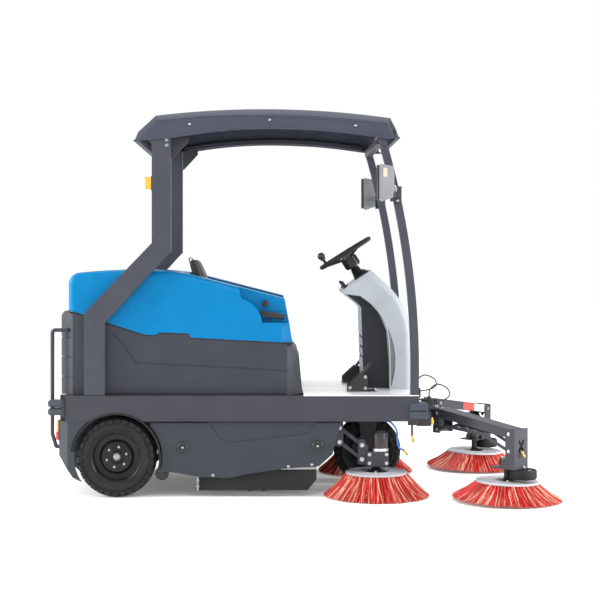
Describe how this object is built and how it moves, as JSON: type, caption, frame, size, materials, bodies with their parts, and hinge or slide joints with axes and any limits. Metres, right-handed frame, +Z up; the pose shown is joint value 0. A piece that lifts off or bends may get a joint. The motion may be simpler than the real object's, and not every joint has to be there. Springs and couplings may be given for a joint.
{
  "type": "ride-on sweeper",
  "caption": "Battery ride-on floor sweeper with a roofed driving seat, a main roller broom, a rear dust drawer and round side brushes on lifting arms.",
  "frame": {"origin": "middle of the overall length and width, on the floor", "axes": "+X forward, +Y to the driver's left, +Z up"},
  "size_m": [2.694, 1.746, 2.049],
  "materials": {
    "charcoal_paint": "satin powder coat, dark charcoal",
    "grey_moulding": "fine-textured dark grey moulded plastic",
    "blue_moulding": "glossy bright blue moulded plastic",
    "light_grey_moulding": "light grey moulded plastic",
    "black_plastic": "black moulded plastic",
    "black_rubber": "black rubber",
    "tyre_rubber": "black tyre rubber",
    "wheel_paint": "black painted steel wheel",
    "deck_metal": "bright tread plate",
    "bright_steel": "bare steel",
    "red_bristle": "red plastic bristle mixed with cream strands",
    "seat_vinyl": "black seat vinyl",
    "amber_lens": "amber lens",
    "mirror_housing": "light grey mirror housing",
    "battery_case": "dark battery case"
  },
  "bodies": {
    "chassis": {"chassis_frame": "charcoal_paint", "deck_plate": "deck_metal", "transaxle": "wheel_paint", "body_shell": "grey_moulding", "rear_cover": "grey_moulding", "rear_posts": "charcoal_paint", "front_posts": "charcoal_paint", "roof_panel": "grey_moulding", "roof_frame": "charcoal_paint", "lamps": "amber_lens", "corner_bumpers": "black_rubber", "rear_guard": "charcoal_paint", "rubber_skirts": "black_rubber", "broom_housing": "charcoal_paint", "filter_and_fan": "black_plastic", "batteries": "battery_case", "console_shell": "light_grey_moulding", "steering_column": "black_plastic", "pedal_base": "black_plastic"},
    "hood": {"hood": "blue_moulding"},
    "hood_lock": {"hood_lock": "black_plastic"},
    "seat": {"seat_base": "charcoal_paint", "seat_cushion": "seat_vinyl", "seat_back": "seat_vinyl"},
    "main_broom": {"main_broom": "black_plastic"},
    "dust_hopper": {"dust_hopper": "charcoal_paint"},
    "front_fork": {"front_fork": "charcoal_paint"},
    "front_wheel": {"front_wheel": "tyre_rubber"},
    "steering_wheel": {"steering_wheel": "black_plastic"},
    "spinner_knob": {"spinner_knob": "black_plastic"},
    "accelerator_pedal": {"accelerator_pedal": "black_plastic"},
    "brake_pedal": {"brake_pedal": "black_plastic"},
    "mirror_right": {"mirror_right": "mirror_housing"},
    "rear_wheel_right": {"rear_tyre_right": "tyre_rubber", "rear_rim_right": "wheel_paint"},
    "side_cover_right": {"side_cover_right": "grey_moulding"},
    "swing_bracket_right": {"swing_bracket_right": "charcoal_paint"},
    "lift_arm_right": {"lift_arm_right": "charcoal_paint"},
    "lower_link_right": {"lower_link_right": "charcoal_paint"},
    "brush_bracket_right": {"brush_bracket_right": "charcoal_paint"},
    "guide_roller_right": {"guide_roller_right": "black_rubber"},
    "front_brush_right": {"front_brush_right": "red_bristle"},
    "mid_upper_link_right": {"mid_upper_link_right": "charcoal_paint"},
    "mid_lower_link_right": {"mid_lower_link_right": "charcoal_paint"},
    "mid_brush_head_right": {"mid_brush_head_right": "charcoal_paint"},
    "mid_brush_right": {"mid_brush_right": "red_bristle"},
    "mirror_left": {"mirror_left": "mirror_housing"},
    "rear_wheel_left": {"rear_tyre_left": "tyre_rubber", "rear_rim_left": "wheel_paint"},
    "side_cover_left": {"side_cover_left": "grey_moulding"},
    "swing_bracket_left": {"swing_bracket_left": "charcoal_paint"},
    "lift_arm_left": {"lift_arm_left": "charcoal_paint"},
    "lower_link_left": {"lower_link_left": "charcoal_paint"},
    "brush_bracket_left": {"brush_bracket_left": "charcoal_paint"},
    "guide_roller_left": {"guide_roller_left": "black_rubber"},
    "front_brush_left": {"front_brush_left": "red_bristle"},
    "mid_upper_link_left": {"mid_upper_link_left": "charcoal_paint"},
    "mid_lower_link_left": {"mid_lower_link_left": "charcoal_paint"},
    "mid_brush_head_left": {"mid_brush_head_left": "charcoal_paint"},
    "mid_brush_left": {"mid_brush_left": "red_bristle"}
  },
  "joints": [
    {"name": "front_steer", "type": "hinge", "parent": "chassis", "child": "front_fork", "pos_m": [0.37005, 0, 0.4], "axis": [0, 0, 1], "range_deg": [-60, 60]},
    {"name": "front_wheel_spin", "type": "hinge", "parent": "front_fork", "child": "front_wheel", "pos_m": [0.37005, 0, 0.188], "axis": [0, 1, 0], "continuous": true},
    {"name": "steering_wheel_turn", "type": "hinge", "parent": "chassis", "child": "steering_wheel", "pos_m": [0.24805, 0, 1.291], "axis": [-0.5299, 0, 0.848], "range_deg": [-360, 360]},
    {"name": "spinner_knob_spin", "type": "hinge", "parent": "steering_wheel", "child": "spinner_knob", "pos_m": [0.14037, -0.0889, 1.22372], "axis": [-0.5299, 0, 0.848], "continuous": true},
    {"name": "accelerator_press", "type": "hinge", "parent": "chassis", "child": "accelerator_pedal", "pos_m": [0.29405, -0.275, 0.578], "axis": [0, 1, 0], "range_deg": [0, 16], "stiffness_Nm_per_rad": 12, "springref_deg": -14.32},
    {"name": "brake_press", "type": "hinge", "parent": "chassis", "child": "brake_pedal", "pos_m": [0.29405, 0.275, 0.578], "axis": [0, 1, 0], "range_deg": [0, 16], "stiffness_Nm_per_rad": 20, "springref_deg": -14.32},
    {"name": "hood_hinge", "type": "hinge", "parent": "chassis", "child": "hood", "pos_m": [-1.24595, 0, 0.99], "axis": [0, -1, 0], "range_deg": [0, 55]},
    {"name": "hood_lock_turn", "type": "hinge", "parent": "hood", "child": "hood_lock", "pos_m": [-0.19995, -0.402, 1.02], "axis": [0, -1, 0], "range_deg": [0, 90]},
    {"name": "seat_slide", "type": "slide", "parent": "hood", "child": "seat", "axis": [1, 0, 0], "range_m": [0, 0.08]},
    {"name": "main_broom_spin", "type": "hinge", "parent": "chassis", "child": "main_broom", "pos_m": [-0.24595, 0, 0.15], "axis": [0, 1, 0], "continuous": true},
    {"name": "hopper_slide", "type": "slide", "parent": "chassis", "child": "dust_hopper", "axis": [-1, 0, 0], "range_m": [0, 0.45]},
    {"name": "mirror_right_turn", "type": "hinge", "parent": "chassis", "child": "mirror_right", "pos_m": [0.47405, -0.566, 1.624], "axis": [0, 0, -1], "range_deg": [-20, 40]},
    {"name": "rear_wheel_right_spin", "type": "hinge", "parent": "chassis", "child": "rear_wheel_right", "pos_m": [-0.98595, -0.467, 0.212], "axis": [0, 1, 0], "continuous": true},
    {"name": "side_cover_right_hinge", "type": "hinge", "parent": "chassis", "child": "side_cover_right", "pos_m": [-0.30595, -0.514, 0.401], "axis": [-1, 0, 0], "range_deg": [0, 75]},
    {"name": "front_arm_right_swing", "type": "hinge", "parent": "chassis", "child": "swing_bracket_right", "pos_m": [0.72905, -0.235, 0.407], "axis": [0, 0, -1], "range_deg": [-15, 15]},
    {"name": "front_arm_right_lift", "type": "hinge", "parent": "swing_bracket_right", "child": "lift_arm_right", "pos_m": [0.76884, -0.2772, 0.425], "axis": [-0.7276, -0.686, 0], "range_deg": [0, 25]},
    {"name": "front_link_right_pivot", "type": "hinge", "parent": "swing_bracket_right", "child": "lower_link_right", "pos_m": [0.76884, -0.2772, 0.336], "axis": [-0.7276, -0.686, 0], "range_deg": [0, 25]},
    {"name": "brush_bracket_right_level", "type": "hinge", "parent": "lift_arm_right", "child": "brush_bracket_right", "pos_m": [1.09812, -0.62644, 0.354], "axis": [-0.7276, -0.686, 0], "range_deg": [-25, 0]},
    {"name": "guide_roller_right_spin", "type": "hinge", "parent": "brush_bracket_right", "child": "guide_roller_right", "pos_m": [1.13608, -0.63463, 0.144], "axis": [0, 0, 1], "continuous": true},
    {"name": "front_brush_right_spin", "type": "hinge", "parent": "brush_bracket_right", "child": "front_brush_right", "pos_m": [1.05905, -0.585, 0.00754], "axis": [0.0262, 0, 0.9997], "continuous": true},
    {"name": "mid_brush_right_lift", "type": "hinge", "parent": "chassis", "child": "mid_upper_link_right", "pos_m": [0.19221, -0.44, 0.36352], "axis": [0, -1, 0], "range_deg": [0, 18]},
    {"name": "mid_link_right_pivot", "type": "hinge", "parent": "chassis", "child": "mid_lower_link_right", "pos_m": [0.19221, -0.44, 0.28852], "axis": [0, -1, 0], "range_deg": [0, 18]},
    {"name": "mid_head_right_level", "type": "hinge", "parent": "mid_upper_link_right", "child": "mid_brush_head_right", "pos_m": [0.31105, -0.44, 0.272], "axis": [0, -1, 0], "range_deg": [-18, 0]},
    {"name": "mid_brush_right_spin", "type": "hinge", "parent": "mid_brush_head_right", "child": "mid_brush_right", "pos_m": [0.38905, -0.44, 0], "axis": [0, 0, 1], "continuous": true},
    {"name": "mirror_left_turn", "type": "hinge", "parent": "chassis", "child": "mirror_left", "pos_m": [0.47405, 0.566, 1.624], "axis": [0, 0, 1], "range_deg": [-20, 40]},
    {"name": "rear_wheel_left_spin", "type": "hinge", "parent": "chassis", "child": "rear_wheel_left", "pos_m": [-0.98595, 0.467, 0.212], "axis": [0, 1, 0], "continuous": true},
    {"name": "side_cover_left_hinge", "type": "hinge", "parent": "chassis", "child": "side_cover_left", "pos_m": [-0.30595, 0.514, 0.401], "axis": [1, 0, 0], "range_deg": [0, 75]},
    {"name": "front_arm_left_swing", "type": "hinge", "parent": "chassis", "child": "swing_bracket_left", "pos_m": [0.72905, 0.235, 0.407], "axis": [0, 0, 1], "range_deg": [-15, 15]},
    {"name": "front_arm_left_lift", "type": "hinge", "parent": "swing_bracket_left", "child": "lift_arm_left", "pos_m": [0.76884, 0.2772, 0.425], "axis": [0.7276, -0.686, 0], "range_deg": [0, 25]},
    {"name": "front_link_left_pivot", "type": "hinge", "parent": "swing_bracket_left", "child": "lower_link_left", "pos_m": [0.76884, 0.2772, 0.336], "axis": [0.7276, -0.686, 0], "range_deg": [0, 25]},
    {"name": "brush_bracket_left_level", "type": "hinge", "parent": "lift_arm_left", "child": "brush_bracket_left", "pos_m": [1.09812, 0.62644, 0.354], "axis": [0.7276, -0.686, 0], "range_deg": [-25, 0]},
    {"name": "guide_roller_left_spin", "type": "hinge", "parent": "brush_bracket_left", "child": "guide_roller_left", "pos_m": [1.13608, 0.63463, 0.144], "axis": [0, 0, 1], "continuous": true},
    {"name": "front_brush_left_spin", "type": "hinge", "parent": "brush_bracket_left", "child": "front_brush_left", "pos_m": [1.05905, 0.585, 0.00754], "axis": [0.0262, 0, 0.9997], "continuous": true},
    {"name": "mid_brush_left_lift", "type": "hinge", "parent": "chassis", "child": "mid_upper_link_left", "pos_m": [0.19221, 0.44, 0.36352], "axis": [0, -1, 0], "range_deg": [0, 18]},
    {"name": "mid_link_left_pivot", "type": "hinge", "parent": "chassis", "child": "mid_lower_link_left", "pos_m": [0.19221, 0.44, 0.28852], "axis": [0, -1, 0], "range_deg": [0, 18]},
    {"name": "mid_head_left_level", "type": "hinge", "parent": "mid_upper_link_left", "child": "mid_brush_head_left", "pos_m": [0.31105, 0.44, 0.272], "axis": [0, -1, 0], "range_deg": [-18, 0]},
    {"name": "mid_brush_left_spin", "type": "hinge", "parent": "mid_brush_head_left", "child": "mid_brush_left", "pos_m": [0.38905, 0.44, 0], "axis": [0, 0, 1], "continuous": true}
  ],
  "couplings": [
    {"joint": "steering_wheel_turn", "follows": "front_steer", "ratio": 6},
    {"joint": "front_link_right_pivot", "follows": "front_arm_right_lift", "ratio": 1},
    {"joint": "brush_bracket_right_level", "follows": "front_arm_right_lift", "ratio": -1},
    {"joint": "mid_link_right_pivot", "follows": "mid_brush_right_lift", "ratio": 1},
    {"joint": "mid_head_right_level", "follows": "mid_brush_right_lift", "ratio": -1},
    {"joint": "front_link_left_pivot", "follows": "front_arm_left_lift", "ratio": 1},
    {"joint": "brush_bracket_left_level", "follows": "front_arm_left_lift", "ratio": -1},
    {"joint": "mid_link_left_pivot", "follows": "mid_brush_left_lift", "ratio": 1},
    {"joint": "mid_head_left_level", "follows": "mid_brush_left_lift", "ratio": -1}
  ]
}
